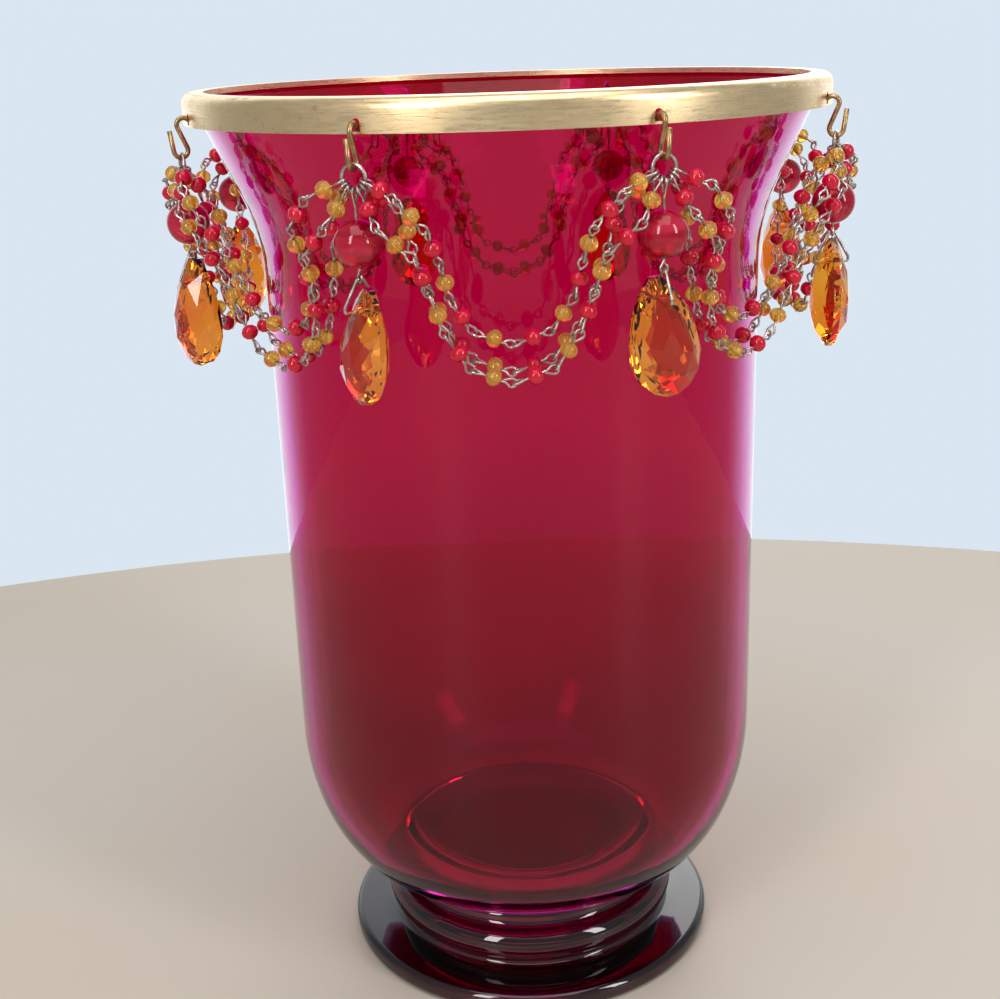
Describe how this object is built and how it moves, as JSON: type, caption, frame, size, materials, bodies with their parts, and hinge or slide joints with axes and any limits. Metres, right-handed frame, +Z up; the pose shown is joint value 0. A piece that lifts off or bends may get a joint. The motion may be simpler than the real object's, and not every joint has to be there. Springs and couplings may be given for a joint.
{
  "type": "mantel lustre vase",
  "caption": "Footed glass vase with a flared mouth and a metal rim band, hung all round with beaded swags, round balls and faceted drops on small hooks.",
  "frame": {"origin": "centre of the foot's flat underside", "axes": "+Z up along the vase's axis, front (the swag the picture faces) towards -Y"},
  "size_m": [0.1792, 0.1792, 0.254],
  "materials": {
    "ruby_glass": "clear ruby glass, glossy",
    "ruby_foot": "thick dark ruby glass, glossy",
    "rim_brass": "worn antique brass with dark speckle",
    "hook_gilt": "antique gilt wire",
    "wire_nickel": "bright nickel wire",
    "red_bead": "polished red glass",
    "amber_bead": "polished amber glass with a pale lining",
    "cherry_ball": "polished cherry red glass",
    "amber_drop": "faceted amber orange glass"
  },
  "bodies": {
    "vase": {"glass_bowl": "ruby_glass", "glass_foot": "ruby_foot", "rim_band": "rim_brass", "s_hooks": "hook_gilt", "jump_rings": "wire_nickel"},
    "swag_1": {"swag_1_links": "wire_nickel", "swag_1_red_beads": "red_bead", "swag_1_amber_beads": "amber_bead"},
    "pendant_1": {"pendant_1_ball": "cherry_ball", "pendant_1_wire": "wire_nickel"},
    "drop_1": {"drop_1": "amber_drop"},
    "swag_2": {"swag_2_links": "wire_nickel", "swag_2_red_beads": "red_bead", "swag_2_amber_beads": "amber_bead"},
    "pendant_2": {"pendant_2_ball": "cherry_ball", "pendant_2_wire": "wire_nickel"},
    "drop_2": {"drop_2": "amber_drop"},
    "swag_3": {"swag_3_links": "wire_nickel", "swag_3_red_beads": "red_bead", "swag_3_amber_beads": "amber_bead"},
    "pendant_3": {"pendant_3_ball": "cherry_ball", "pendant_3_wire": "wire_nickel"},
    "drop_3": {"drop_3": "amber_drop"},
    "swag_4": {"swag_4_links": "wire_nickel", "swag_4_red_beads": "red_bead", "swag_4_amber_beads": "amber_bead"},
    "pendant_4": {"pendant_4_ball": "cherry_ball", "pendant_4_wire": "wire_nickel"},
    "drop_4": {"drop_4": "amber_drop"},
    "swag_5": {"swag_5_links": "wire_nickel", "swag_5_red_beads": "red_bead", "swag_5_amber_beads": "amber_bead"},
    "pendant_5": {"pendant_5_ball": "cherry_ball", "pendant_5_wire": "wire_nickel"},
    "drop_5": {"drop_5": "amber_drop"},
    "swag_6": {"swag_6_links": "wire_nickel", "swag_6_red_beads": "red_bead", "swag_6_amber_beads": "amber_bead"},
    "pendant_6": {"pendant_6_ball": "cherry_ball", "pendant_6_wire": "wire_nickel"},
    "drop_6": {"drop_6": "amber_drop"},
    "swag_7": {"swag_7_links": "wire_nickel", "swag_7_red_beads": "red_bead", "swag_7_amber_beads": "amber_bead"},
    "pendant_7": {"pendant_7_ball": "cherry_ball", "pendant_7_wire": "wire_nickel"},
    "drop_7": {"drop_7": "amber_drop"},
    "swag_8": {"swag_8_links": "wire_nickel", "swag_8_red_beads": "red_bead", "swag_8_amber_beads": "amber_bead"},
    "pendant_8": {"pendant_8_ball": "cherry_ball", "pendant_8_wire": "wire_nickel"},
    "drop_8": {"drop_8": "amber_drop"}
  },
  "joints": [
    {"name": "swag_1_swing", "type": "hinge", "parent": "vase", "child": "swag_1", "pos_m": [0, -0.08065, 0.23595], "axis": [-1, 0, 0], "range_deg": [-6, 25]},
    {"name": "pendant_1_swing", "type": "hinge", "parent": "vase", "child": "pendant_1", "pos_m": [-0.03347, -0.08081, 0.23447], "axis": [-0.9239, 0.3827, 0], "range_deg": [-6, 60]},
    {"name": "drop_1_swing", "type": "hinge", "parent": "pendant_1", "child": "drop_1", "pos_m": [-0.03347, -0.08081, 0.20803], "axis": [-0.8141, -0.5807, 0], "range_deg": [-9, 9]},
    {"name": "swag_2_swing", "type": "hinge", "parent": "vase", "child": "swag_2", "pos_m": [0.05703, -0.05703, 0.23595], "axis": [-0.7071, -0.7071, 0], "range_deg": [-6, 25]},
    {"name": "pendant_2_swing", "type": "hinge", "parent": "vase", "child": "pendant_2", "pos_m": [0.03347, -0.08081, 0.23447], "axis": [-0.9239, -0.3827, 0], "range_deg": [-6, 60]},
    {"name": "drop_2_swing", "type": "hinge", "parent": "pendant_2", "child": "drop_2", "pos_m": [0.03347, -0.08081, 0.20803], "axis": [0.3173, -0.9483, 0], "range_deg": [-9, 9]},
    {"name": "swag_3_swing", "type": "hinge", "parent": "vase", "child": "swag_3", "pos_m": [0.08065, 0, 0.23595], "axis": [0, -1, 0], "range_deg": [-6, 25]},
    {"name": "pendant_3_swing", "type": "hinge", "parent": "vase", "child": "pendant_3", "pos_m": [0.08081, -0.03347, 0.23447], "axis": [-0.3827, -0.9239, 0], "range_deg": [-6, 60]},
    {"name": "drop_3_swing", "type": "hinge", "parent": "pendant_3", "child": "drop_3", "pos_m": [0.08081, -0.03347, 0.20803], "axis": [0.9997, 0.0262, 0], "range_deg": [-9, 9]},
    {"name": "swag_4_swing", "type": "hinge", "parent": "vase", "child": "swag_4", "pos_m": [0.05703, 0.05703, 0.23595], "axis": [0.7071, -0.7071, 0], "range_deg": [-6, 25]},
    {"name": "pendant_4_swing", "type": "hinge", "parent": "vase", "child": "pendant_4", "pos_m": [0.08081, 0.03347, 0.23447], "axis": [0.3827, -0.9239, 0], "range_deg": [-6, 60]},
    {"name": "drop_4_swing", "type": "hinge", "parent": "pendant_4", "child": "drop_4", "pos_m": [0.08081, 0.03347, 0.20803], "axis": [0.8434, 0.5373, 0], "range_deg": [-9, 9]},
    {"name": "swag_5_swing", "type": "hinge", "parent": "vase", "child": "swag_5", "pos_m": [0, 0.08065, 0.23595], "axis": [1, 0, 0], "range_deg": [-6, 25]},
    {"name": "pendant_5_swing", "type": "hinge", "parent": "vase", "child": "pendant_5", "pos_m": [0.03347, 0.08081, 0.23447], "axis": [0.9239, -0.3827, 0], "range_deg": [-6, 60]},
    {"name": "drop_5_swing", "type": "hinge", "parent": "pendant_5", "child": "drop_5", "pos_m": [0.03347, 0.08081, 0.20803], "axis": [0.5948, 0.8039, 0], "range_deg": [-9, 9]},
    {"name": "swag_6_swing", "type": "hinge", "parent": "vase", "child": "swag_6", "pos_m": [-0.05703, 0.05703, 0.23595], "axis": [0.7071, 0.7071, 0], "range_deg": [-6, 25]},
    {"name": "pendant_6_swing", "type": "hinge", "parent": "vase", "child": "pendant_6", "pos_m": [-0.03347, 0.08081, 0.23447], "axis": [0.9239, 0.3827, 0], "range_deg": [-6, 60]},
    {"name": "drop_6_swing", "type": "hinge", "parent": "pendant_6", "child": "drop_6", "pos_m": [-0.03347, 0.08081, 0.20803], "axis": [-0.5075, 0.8616, 0], "range_deg": [-9, 9]},
    {"name": "swag_7_swing", "type": "hinge", "parent": "vase", "child": "swag_7", "pos_m": [-0.08065, 0, 0.23595], "axis": [0, 1, 0], "range_deg": [-6, 25]},
    {"name": "pendant_7_swing", "type": "hinge", "parent": "vase", "child": "pendant_7", "pos_m": [-0.08081, 0.03347, 0.23447], "axis": [0.3827, 0.9239, 0], "range_deg": [-6, 60]},
    {"name": "drop_7_swing", "type": "hinge", "parent": "pendant_7", "child": "drop_7", "pos_m": [-0.08081, 0.03347, 0.20803], "axis": [-0.7373, 0.6756, 0], "range_deg": [-9, 9]},
    {"name": "swag_8_swing", "type": "hinge", "parent": "vase", "child": "swag_8", "pos_m": [-0.05703, -0.05703, 0.23595], "axis": [-0.7071, 0.7071, 0], "range_deg": [-6, 25]},
    {"name": "pendant_8_swing", "type": "hinge", "parent": "vase", "child": "pendant_8", "pos_m": [-0.08081, -0.03347, 0.23447], "axis": [-0.3827, 0.9239, 0], "range_deg": [-6, 60]},
    {"name": "drop_8_swing", "type": "hinge", "parent": "pendant_8", "child": "drop_8", "pos_m": [-0.08081, -0.03347, 0.20803], "axis": [-0.6088, -0.7934, 0], "range_deg": [-9, 9]}
  ]
}
